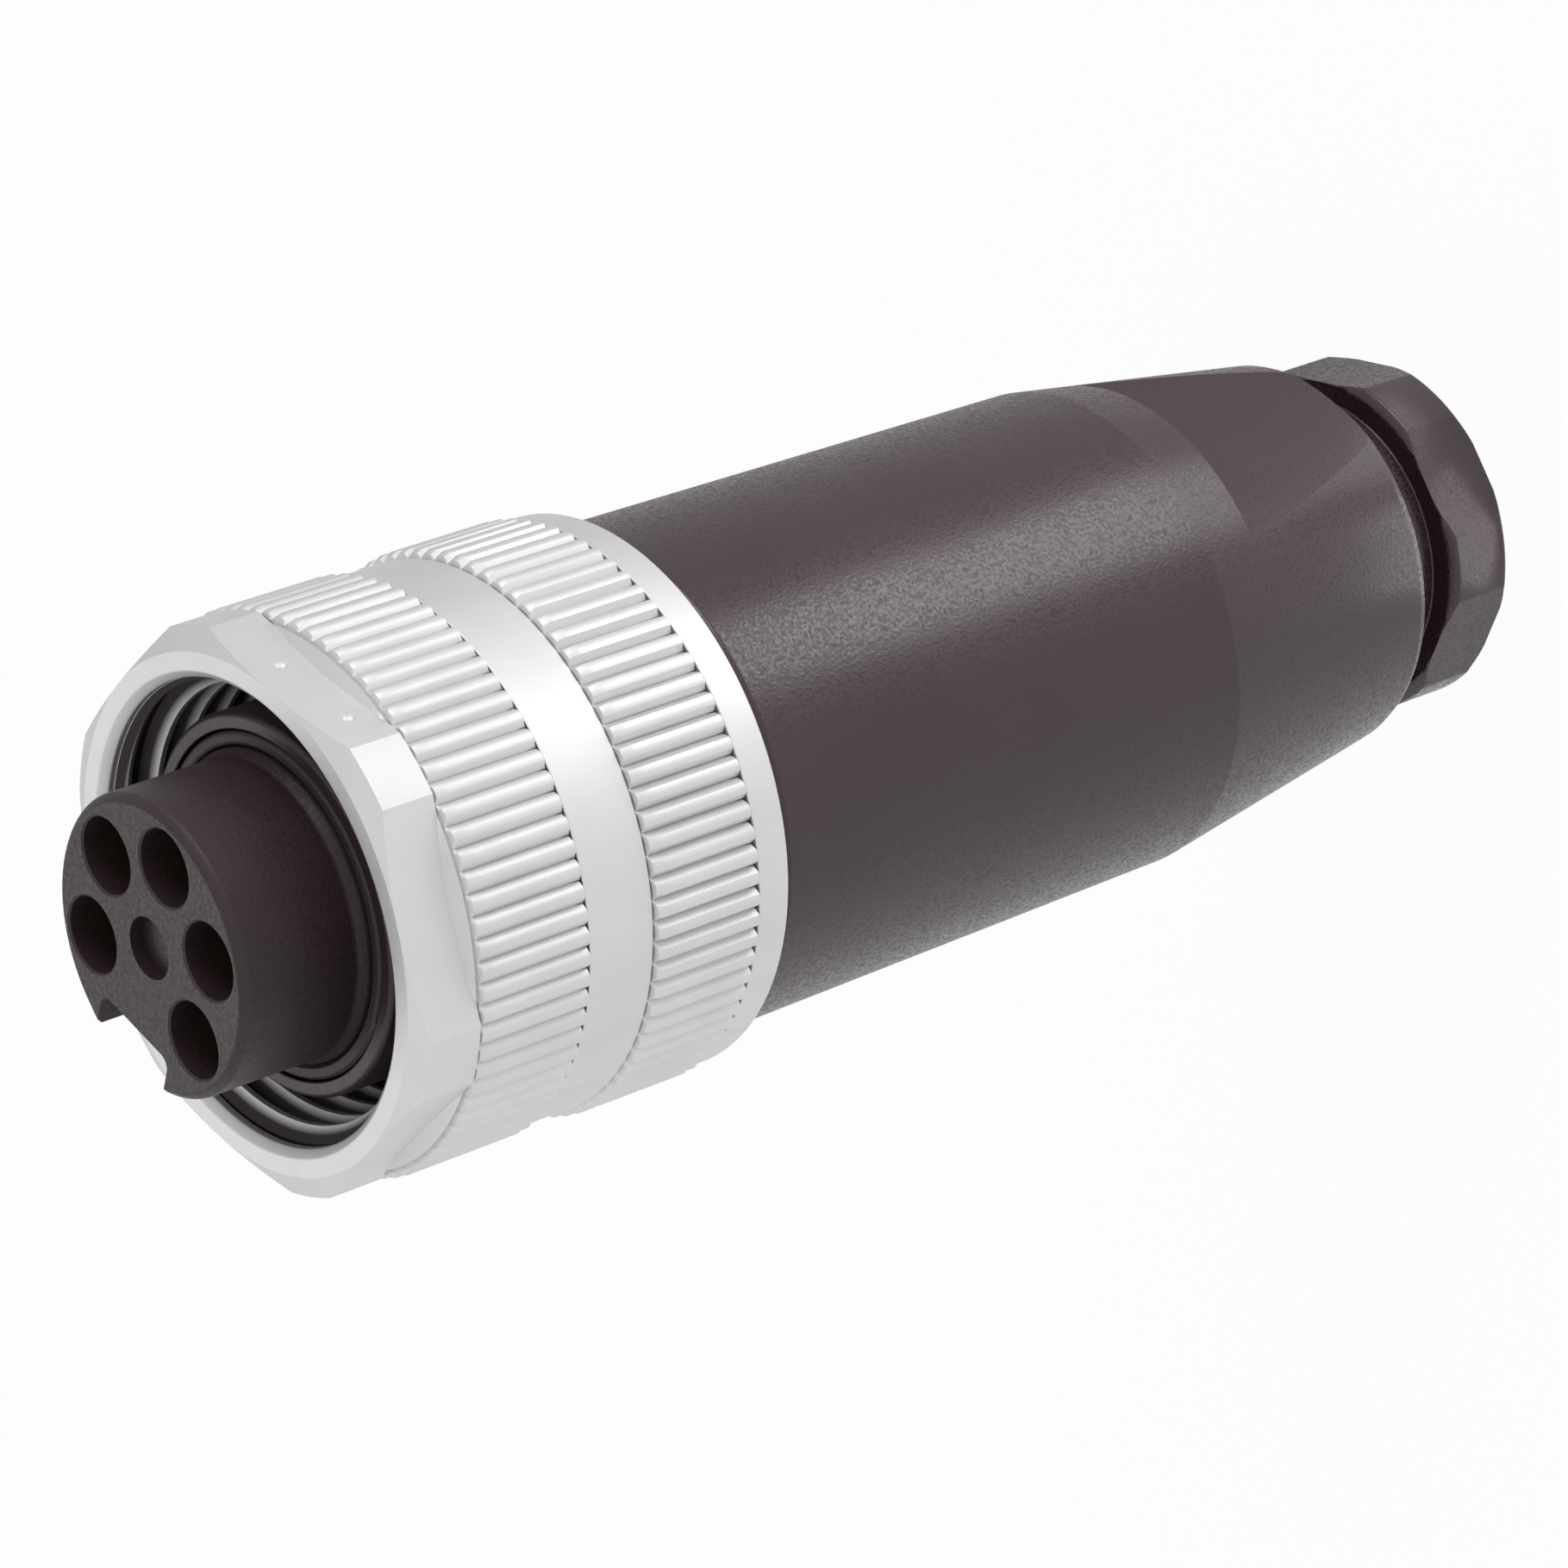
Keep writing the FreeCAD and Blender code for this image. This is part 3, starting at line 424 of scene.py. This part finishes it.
def mark_edges(work, width, angle, where):
    """Weights the edges with room for rounding, and keeps the other sharp ones sharp."""
    weight = work.edges.layers.float.new("bevel_weight_edge")
    sharp = [e for e in work.edges if len(e.link_faces) == 2 and e.calc_face_angle(0) > angle]
    tight = {v for e in work.edges if e.calc_length() < BEVEL_ROOM * width for v in e.verts}
    if where:
        tight |= {v for e in sharp if not where(e) for v in e.verts}
    narrowest = math.radians(BEVEL_NARROWEST)
    rays = {}
    for edge in sharp:
        for vertex in edge.verts:
            ray = edge.other_vert(vertex).co - vertex.co
            if any(ray.angle(other, 0) < narrowest for other in rays.get(vertex, ())):
                tight.add(vertex)
            rays.setdefault(vertex, []).append(ray)
    for face in work.faces:
        face.smooth = True
    for edge in work.edges:
        edge.smooth = True
    for edge in sharp:
        if tight.isdisjoint(edge.verts):
            edge[weight] = 1.0
        else:
            edge.smooth = False


def evaluated(piece):
    """The mesh that a piece's modifiers give."""
    graph = bpy.context.evaluated_depsgraph_get()
    return bpy.data.meshes.new_from_object(
        piece.evaluated_get(graph), preserve_all_data_layers=True, depsgraph=graph)


def straighten_turned(mesh):
    """Shading normals without the unevenness of the facets, on faces turned about Z."""
    normals = [Vector(corner.vector) for corner in mesh.corner_normals]
    for face in mesh.polygons:
        outward = Vector((face.center.x, face.center.y, 0)).normalized()
        spread = max(outward.angle(Vector((*mesh.vertices[i].co.xy, 0)), math.pi)
                     for i in face.vertices)
        sideways = abs(face.normal.x * outward.y - face.normal.y * outward.x)
        level = abs(face.normal.z) > LEVEL_NORMAL
        if level or spread > math.radians(TURNED_FACET) or sideways > TURNED_LEAN:
            continue
        for corner in face.loop_indices:
            place = mesh.vertices[mesh.loops[corner].vertex_index].co
            radial = Vector((place.x, place.y, 0)).normalized()
            normal = normals[corner]
            turned = radial * normal.dot(radial) + Vector((0, 0, normal.z))
            normals[corner] = turned.normalized()
    mesh.normals_split_custom_set(normals)


def softened(node, width_mm, angle, reshape=None, where=None):
    """A copy of a node with its loose triangles joined and its sharp edges rounded.

    Edges sharper than the angle are rounded, or only those of them that where() allows.
    """
    work = bmesh.new()
    work.from_mesh(nodes[node].data)
    if reshape:
        for vertex in work.verts:
            vertex.co = reshape(vertex.co)
    bmesh.ops.remove_doubles(work, verts=work.verts, dist=MERGE_DISTANCE)
    bmesh.ops.dissolve_degenerate(work, edges=work.edges, dist=MERGE_DISTANCE)
    bmesh.ops.dissolve_limit(work, angle_limit=math.radians(SAME_PLANE), verts=work.verts,
                             edges=work.edges)
    mark_edges(work, width_mm * MM, math.radians(angle), where)
    mesh = bpy.data.meshes.new(node + "_finished")
    work.to_mesh(mesh)
    work.free()
    piece = bpy.data.objects.new(node + "_finished", mesh)
    bpy.context.scene.collection.objects.link(piece)
    bevel = piece.modifiers.new("edges", "BEVEL")
    bevel.width = width_mm * MM
    bevel.segments = BEVEL_SEGMENTS
    bevel.limit_method = "WEIGHT"
    bevel.use_clamp_overlap = False
    weld = piece.modifiers.new("weld", "WELD")
    weld.merge_threshold = MERGE_DISTANCE
    even = piece.modifiers.new("even", "WEIGHTED_NORMAL")
    even.keep_sharp = True
    piece.data = evaluated(piece)
    piece.modifiers.clear()
    straighten_turned(piece.data)
    return piece


def drawn_in(spot, radius_mm):
    """The same point, no further from the axis than this."""
    share = min(1.0, radius_mm * MM / max(math.hypot(spot.x, spot.y), 1e-9))
    return Vector((spot.x * share, spot.y * share, spot.z))


def hexagon_flat(spot):
    """The direction of the hexagon's flat that a point lies on, if it lies on one."""
    if spot.z < (HEXAGON_REAR_MM - PLACE_TOLERANCE_MM) * MM:
        return None
    for k in range(6):
        turn = math.radians(HEXAGON_FLAT_ANGLE + 60 * k)
        outward = Vector((math.cos(turn), math.sin(turn), 0))
        if abs(spot.dot(outward) - HEXAGON_FLAT_MM * MM) < PLACE_TOLERANCE_MM * MM:
            return outward
    return None


def drawn_in_on_flat(spot, outward, radius_mm):
    """The same point moved along its flat to this distance from the axis."""
    foot = outward * HEXAGON_FLAT_MM * MM
    side = spot - outward * spot.dot(outward)
    side.z = 0
    reach = math.sqrt(radius_mm ** 2 - HEXAGON_FLAT_MM ** 2) * MM
    return foot + side.normalized() * min(side.length, reach) + Vector((0, 0, spot.z))


def without_ribs(spot):
    """Takes the solid's ribs off the coupling ring, so that the rounded ones can stand there."""
    radius = math.hypot(spot.x, spot.y) / MM
    if radius < RIB_ROOT_MM - RIB_TOLERANCE_MM:
        return spot
    place = spot.z / MM
    for rear, front, _ in KNURLS_MM:
        between = rear + PLACE_TOLERANCE_MM < place < front - PLACE_TOLERANCE_MM
        at_end = min(abs(place - rear), abs(place - front)) <= PLACE_TOLERANCE_MM
        if between or (at_end and radius < RIB_ROOT_MM + RIB_TOLERANCE_MM):
            outward = hexagon_flat(spot)
            if outward is None:
                return drawn_in(spot, RIB_FLOOR_MM)
            return drawn_in_on_flat(spot, outward, RIB_FLOOR_MM)
    return spot


def without_gland_thread(spot):
    """Draws the nut's plain shank in to the root of its thread."""
    radius = math.hypot(spot.x, spot.y) / MM
    in_shank = spot.z > GLAND_HEAD_FRONT_MM * MM and radius > GLAND_ROOT_MM
    return drawn_in(spot, GLAND_ROOT_MM) if in_shank else spot


# Threads and knurls, made by Geometry Nodes

def finish_tree(wire, geometry, material):
    """Ends a Geometry Nodes tree with real geometry in one material."""
    real = wire.node("GeometryNodeRealizeInstances", {"Geometry": geometry})
    coated = wire.node("GeometryNodeSetMaterial", {
        "Geometry": real.outputs["Geometry"], "Material": material})
    wire.node("NodeGroupOutput", {"Geometry": coated.outputs["Geometry"]})


def thread_tree():
    """A helical ridge: a trapezium swept along a spiral, thinned out at both ends."""
    tree, wire, given = new_group(
        "thread_ridge", "GeometryNodeTree", {
            "Geometry": "Geometry", "Wall Radius": 0.011, "Crest Radius": 0.0104,
            "Pitch": 0.0016, "Rear": 0.06, "Turns": 5.0, "Run Out": THREAD_RUN_OUT,
            "Material": "Material",
        }, {"Geometry": "Geometry"})
    spiral = wire.node("GeometryNodeCurveSpiral", {
        "Resolution": THREAD_STEPS, "Rotations": given["Turns"],
        "Start Radius": given["Wall Radius"], "End Radius": given["Wall Radius"],
        "Height": wire.math("MULTIPLY", given["Turns"], given["Pitch"]),
    })
    lifted = wire.node("GeometryNodeTransform", {
        "Geometry": spiral.outputs["Curve"], "Translation": wire.combined(z=given["Rear"])})
    upright = wire.node("GeometryNodeSetCurveNormal", {
        "Curve": lifted.outputs["Geometry"]}, mode="Z_UP")
    along = wire.node("GeometryNodeSplineParameter").outputs["Factor"]
    from_end = wire.math("MINIMUM", along, wire.math("SUBTRACT", 1.0, along))
    share = wire.clamped(wire.math("DIVIDE", from_end, given["Run Out"]), THREAD_THINNEST)
    depth = wire.math("SUBTRACT", given["Wall Radius"], given["Crest Radius"])
    foot = wire.math("MULTIPLY", given["Pitch"], THREAD_FOOT)
    crest = wire.math("MULTIPLY", given["Pitch"], THREAD_CREST)
    profile = wire.node("GeometryNodeCurvePrimitiveQuadrilateral", {
        "Point 1": wire.combined(0.0, foot),
        "Point 2": wire.combined(depth, crest),
        "Point 3": wire.combined(depth, wire.math("MULTIPLY", crest, -1.0)),
        "Point 4": wire.combined(0.0, wire.math("MULTIPLY", foot, -1.0)),
    }, mode="POINTS")
    swept = wire.node("GeometryNodeCurveToMesh", {
        "Curve": upright.outputs["Curve"], "Profile Curve": profile.outputs["Curve"],
        "Scale": share, "Fill Caps": True})
    outward = wire.node("GeometryNodeFlipFaces", {
        "Mesh": swept.outputs["Mesh"], "Selection": wire.math("GREATER_THAN", depth, 0.0)})
    finish_tree(wire, outward.outputs["Mesh"], given["Material"])
    return tree


def rounded_end(wire, distance, reach):
    """How much of a rib's height stands at a distance from its end: a quarter of a circle."""
    share = wire.math("MINIMUM", wire.math("DIVIDE", distance, reach), 1.0)
    missing = wire.math("SUBTRACT", 1.0, share)
    square = wire.math("SUBTRACT", 1.0, wire.math("MULTIPLY", missing, missing))
    return wire.math("SQRT", wire.math("MAXIMUM", square, 0.0))


def knurl_tree():
    """A knurled sleeve: rounded ribs that are closed off at both ends and on the inside."""
    tree, wire, given = new_group(
        "knurled_sleeve", "GeometryNodeTree", {
            "Geometry": "Geometry", "Ribs": RIBS, "First Valley": 0.0, "Core Radius": 0.0128,
            "Root Radius": 0.01325, "Crest Radius": 0.0136, "Rear": 0.053, "Front": 0.059,
            "Rear Round": 0.00006, "Front Round": 0.00042, "Rib Share": RIB_SHARE,
            "Bulge": RIB_BULGE, "Material": "Material",
        }, {"Geometry": "Geometry"})
    columns = wire.math("MULTIPLY", given["Ribs"], RIB_COLUMNS)
    grid = wire.node("GeometryNodeMeshGrid", {
        "Size X": 1.0, "Size Y": 1.0, "Vertices X": wire.math("ADD", columns, 1.0),
        "Vertices Y": RIB_ROWS,
    })
    spot = wire.separated(wire.node("GeometryNodeInputPosition").outputs[0])
    round_share = wire.math("ADD", spot["X"], 0.5)
    row = wire.math("MULTIPLY", wire.math("ADD", spot["Y"], 0.5), RIB_ROWS - 1.0)

    # Row 0 is the core's rear edge and rows 1 to last_outside the ribs. Then come the core's
    # front edge and its rear edge once more, which closes the sleeve.
    last_outside = RIB_ROWS - 3.0
    along = wire.math("DIVIDE", wire.math("SUBTRACT", row, 1.0), last_outside - 1.0)
    along = wire.math("MULTIPLY", wire.clamped(along),
                      wire.math("LESS_THAN", row, last_outside + 1.5))
    eased = wire.math("COSINE", wire.math("MULTIPLY", along, math.pi))
    eased = wire.math("MULTIPLY_ADD", eased, -0.5, 0.5)
    length = wire.math("SUBTRACT", given["Front"], given["Rear"])
    place = wire.math("MULTIPLY_ADD", eased, length, given["Rear"])
    core = wire.math("ADD", wire.math("LESS_THAN", row, 0.5),
                     wire.math("GREATER_THAN", row, last_outside + 0.5))

    from_rear = wire.math("SUBTRACT", place, given["Rear"])
    from_front = wire.math("SUBTRACT", given["Front"], place)
    ends = wire.math("MULTIPLY", rounded_end(wire, from_rear, given["Rear Round"]),
                     rounded_end(wire, from_front, given["Front Round"]))
    within = wire.math("FRACT", wire.math("MULTIPLY", round_share, given["Ribs"]))
    off_crest = wire.math("ABSOLUTE", wire.math("MULTIPLY_ADD", within, 2.0, -1.0))
    off_crest = wire.math("DIVIDE", off_crest, given["Rib Share"])
    swell = wire.math("SUBTRACT", 1.0, wire.math("POWER", off_crest, given["Bulge"]))
    height = wire.math("SUBTRACT", given["Crest Radius"], given["Root Radius"])
    height = wire.math("MULTIPLY", height, wire.math("MAXIMUM", swell, 0.0))
    outside = wire.math("ADD", given["Root Radius"], wire.math("MULTIPLY", height, ends))
    inward = wire.math("MULTIPLY", core, wire.math("SUBTRACT", given["Core Radius"], outside))
    radius = wire.math("ADD", outside, inward)

    angle = wire.math("MULTIPLY_ADD", round_share, 2 * math.pi, given["First Valley"])
    moved = wire.node("GeometryNodeSetPosition", {
        "Geometry": grid.outputs["Mesh"],
        "Position": wire.combined(wire.math("MULTIPLY", radius, wire.math("COSINE", angle)),
                                  wire.math("MULTIPLY", radius, wire.math("SINE", angle)), place),
    })
    closed = wire.node("GeometryNodeMergeByDistance", {
        "Geometry": moved.outputs["Geometry"], "Distance": RIB_SEAM})
    finish_tree(wire, closed.outputs["Geometry"], given["Material"])
    return tree


def grown(name, tree, values, body, slot):
    """Makes a piece with a Geometry Nodes tree, baked to a plain mesh on one body."""
    piece = bpy.data.objects.new(name, bpy.data.meshes.new(name))
    bpy.context.scene.collection.objects.link(piece)
    modifier = piece.modifiers.new("made", "NODES")
    modifier.node_group = tree
    values = {**values, "Material": MATERIALS[slot]}
    for item in tree.interface.items_tree:
        if item.item_type == "SOCKET" and item.in_out == "INPUT" and item.name in values:
            modifier[item.identifier] = values[item.name]
    piece.data = evaluated(piece)
    piece.modifiers.clear()
    piece.data.shade_smooth()
    piece.data.set_sharp_from_angle(angle=math.radians(SMOOTH_ANGLE))
    finish_with(piece, slot)
    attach(piece, body)


def knurl_values(rear_mm, front_mm, crest_mm):
    """What knurl_tree needs for one band of the coupling ring."""
    return {
        "Ribs": RIBS, "First Valley": math.radians(FIRST_VALLEY),
        "Core Radius": RIB_CORE_MM * MM, "Root Radius": RIB_ROOT_MM * MM,
        "Crest Radius": crest_mm * MM, "Rear": (rear_mm + RIB_REAR_GROOVE_MM) * MM,
        "Front": (front_mm - RIB_FRONT_GROOVE_MM) * MM, "Rear Round": RIB_REAR_ROUND_MM * MM,
        "Front Round": RIB_FRONT_ROUND_MM * MM, "Rib Share": RIB_SHARE, "Bulge": RIB_BULGE,
    }


def thread_values(wall_mm, crest_mm, pitch_mm, rear_mm, front_mm):
    """What thread_tree needs for one thread on a plain wall."""
    return {
        "Wall Radius": wall_mm * MM, "Crest Radius": crest_mm * MM, "Pitch": pitch_mm * MM,
        "Rear": rear_mm * MM, "Turns": (front_mm - rear_mm) / pitch_mm,
    }


# The pieces

FINISHED = {  # rounding in mm, and the angle in degrees from which an edge is rounded
    "coupling_ring": {"width_mm": 0.07, "angle": 9.0, "reshape": without_ribs,
                      "where": off_hexagon},
    "socket_insert": {"width_mm": 0.12, "angle": 16.0},
    "carrier_shell": {"width_mm": 0.08, "angle": 16.0},
    "housing_sleeve": {"width_mm": 0.12, "angle": 5.6, "where": off_wrench_flats},
    "gland_nut": {"width_mm": 0.12, "angle": 9.0, "reshape": without_gland_thread},
    "face_seal": {"width_mm": 0.1, "angle": 16.0},
}
OWN_MATERIAL = {"carrier_shell": SMOOTH_PLASTIC}  # others have their slot's

for name, piece in nodes.items():
    finish_with(piece, SLOT_OF[name])

for name, finishing in FINISHED.items():
    piece = softened(name, **finishing)
    finish_with(piece, SLOT_OF[name], OWN_MATERIAL.get(name))
    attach(piece, BODY_OF[name])
    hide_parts(name)

THREAD = thread_tree()
KNURL = knurl_tree()
for name, band in zip(("rear_knurl", "front_knurl"), KNURLS_MM):
    grown(name, KNURL, knurl_values(*band), "ring", "satin_nickel")
grown("coupling_thread", THREAD,
      thread_values(COUPLING_MAJOR_MM, COUPLING_MINOR_MM, COUPLING_PITCH_MM,
                    COUPLING_REAR_MM, COUPLING_FRONT_MM), "ring", "satin_nickel")
grown("gland_thread", THREAD,
      thread_values(GLAND_ROOT_MM, GLAND_SHANK_MM, GLAND_PITCH_MM,
                    GLAND_REAR_MM, GLAND_FRONT_MM), "nut", "black_plastic")


# Stage, light and camera

def mirrored_level(wire, direction):
    """How bright the studio looks in gloss and metal, by the direction from the connector."""
    along = wire.node("ShaderNodeVectorMath", {0: direction, 1: SHADED_SIDE},
                      operation="DOT_PRODUCT").outputs["Value"]
    return wire.node("ShaderNodeMapRange", {
        "Value": along, "From Min": SHADED_FROM, "From Max": 1.0, "To Min": BRIGHT_LEVEL,
        "To Max": SHADED_LEVEL,
    }).outputs["Result"]


def floor():
    """A wide white floor that keeps a pale shadow of the standing connector."""
    mesh = bpy.data.meshes.new("floor")
    corners = [(-1, -1), (1, -1), (1, 1), (-1, 1)]
    mesh.from_pydata([(x * FLOOR_HALF, y * FLOOR_HALF, 0) for x, y in corners],
                     [], [(0, 1, 2, 3)])
    plane = bpy.data.objects.new("floor", mesh)
    bpy.context.scene.collection.objects.link(plane)
    material, wire, shader = blank_material("floor_white")
    shader.inputs["Base Color"].default_value = (0.95, 0.95, 0.95, 1)
    shader.inputs["Roughness"].default_value = 0.9
    shader.inputs["Specular IOR Level"].default_value = 0.1
    path = wire.node("ShaderNodeLightPath").outputs
    outward = wire.node("ShaderNodeVectorMath", {0: wire.coordinate("Object")},
                        operation="NORMALIZE").outputs[0]
    level = mirrored_level(wire, outward)
    strength = wire.math("MULTIPLY_ADD", path["Is Glossy Ray"],
                         wire.math("SUBTRACT", level, 1.0), 1.0)
    direct = wire.math("MAXIMUM", path["Is Camera Ray"], path["Is Glossy Ray"])
    direct = wire.math("MAXIMUM", direct, path["Is Transmission Ray"])
    share = wire.math("MULTIPLY", direct, FLOOR_WHITE)
    glow = wire.node("ShaderNodeEmission", {"Color": (1, 1, 1, 1), "Strength": strength})
    mixed = wire.node("ShaderNodeMixShader", {0: share, 1: shader.outputs[0], 2: glow.outputs[0]})
    output = material.node_tree.nodes["Material Output"]
    material.node_tree.links.new(mixed.outputs[0], output.inputs["Surface"])
    mesh.materials.append(material)


def world_light():
    """White to the camera, an even level on surfaces, and one darker side in reflections."""
    world = bpy.data.worlds.new("studio")
    bpy.context.scene.world = world
    world.use_nodes = True
    wire = Wiring(world.node_tree)
    path = wire.node("ShaderNodeLightPath").outputs
    mirrored = mirrored_level(wire, wire.coordinate("Generated"))
    lit = wire.math("MULTIPLY_ADD", path["Is Glossy Ray"],
                    wire.math("SUBTRACT", mirrored, WORLD_LEVEL), WORLD_LEVEL)
    clear = wire.math("MAXIMUM", path["Is Camera Ray"], path["Is Transmission Ray"])
    strength = wire.math("MULTIPLY_ADD", clear, wire.math("SUBTRACT", 1.0, lit), lit)
    background = world.node_tree.nodes["Background"]
    background.inputs["Color"].default_value = (1, 1, 1, 1)
    world.node_tree.links.new(strength, background.inputs["Strength"])


def softbox(name, direction, size, power):
    """A square lamp that faces the connector's middle from a direction."""
    lamp = bpy.data.lights.new(name, "AREA")
    lamp.shape = "SQUARE"
    lamp.size = size
    lamp.energy = power
    holder = bpy.data.objects.new(name, lamp)
    bpy.context.scene.collection.objects.link(holder)
    toward = Vector(direction).normalized()
    holder.location = SOFTBOX_AIM + toward * SOFTBOX_DISTANCE
    holder.rotation_mode = "QUATERNION"
    holder.rotation_quaternion = (-toward).to_track_quat("-Z", "Y")


def low_cards(angle, ends, levels, spread):
    """A row of oblong lamps just above the floor, which widen outwards and face up."""
    turn = math.radians(angle)
    for near, far, level in zip(ends, ends[1:], levels):
        middle = (near + far) / 2
        lamp = bpy.data.lights.new("low_card", "AREA")
        lamp.shape = "RECTANGLE"
        lamp.size = far - near
        lamp.size_y = 2 * spread * middle
        lamp.energy = level * math.pi * lamp.size * lamp.size_y
        holder = bpy.data.objects.new("low_card", lamp)
        bpy.context.scene.collection.objects.link(holder)
        holder.location = (middle * math.cos(turn), middle * math.sin(turn), CARD_HEIGHT)
        holder.rotation_euler = (math.pi, 0, turn)
        holder.visible_camera = False


def camera():
    """The photograph's viewpoint, rolled because the connector lies across the picture."""
    data = bpy.data.cameras.new("camera")
    data.lens = CAMERA_LENS
    data.sensor_width = CAMERA_SENSOR
    data.clip_start, data.clip_end = CAMERA_CLIP
    holder = bpy.data.objects.new("camera", data)
    bpy.context.scene.collection.objects.link(holder)
    holder.rotation_mode = "QUATERNION"
    level = (CAMERA_AIM - CAMERA_PLACE).to_track_quat("-Z", "Y")
    holder.rotation_quaternion = level @ Quaternion((0, 0, 1), math.radians(CAMERA_ROLL))
    holder.location = CAMERA_PLACE
    bpy.context.scene.camera = holder


floor()
world_light()
softbox("key", **KEY_SOFTBOX)
softbox("top", **TOP_SOFTBOX)
low_cards(**STRIPE_CARDS)
low_cards(**NUT_CARD)
camera()
bpy.context.scene.view_settings.view_transform = "Standard"
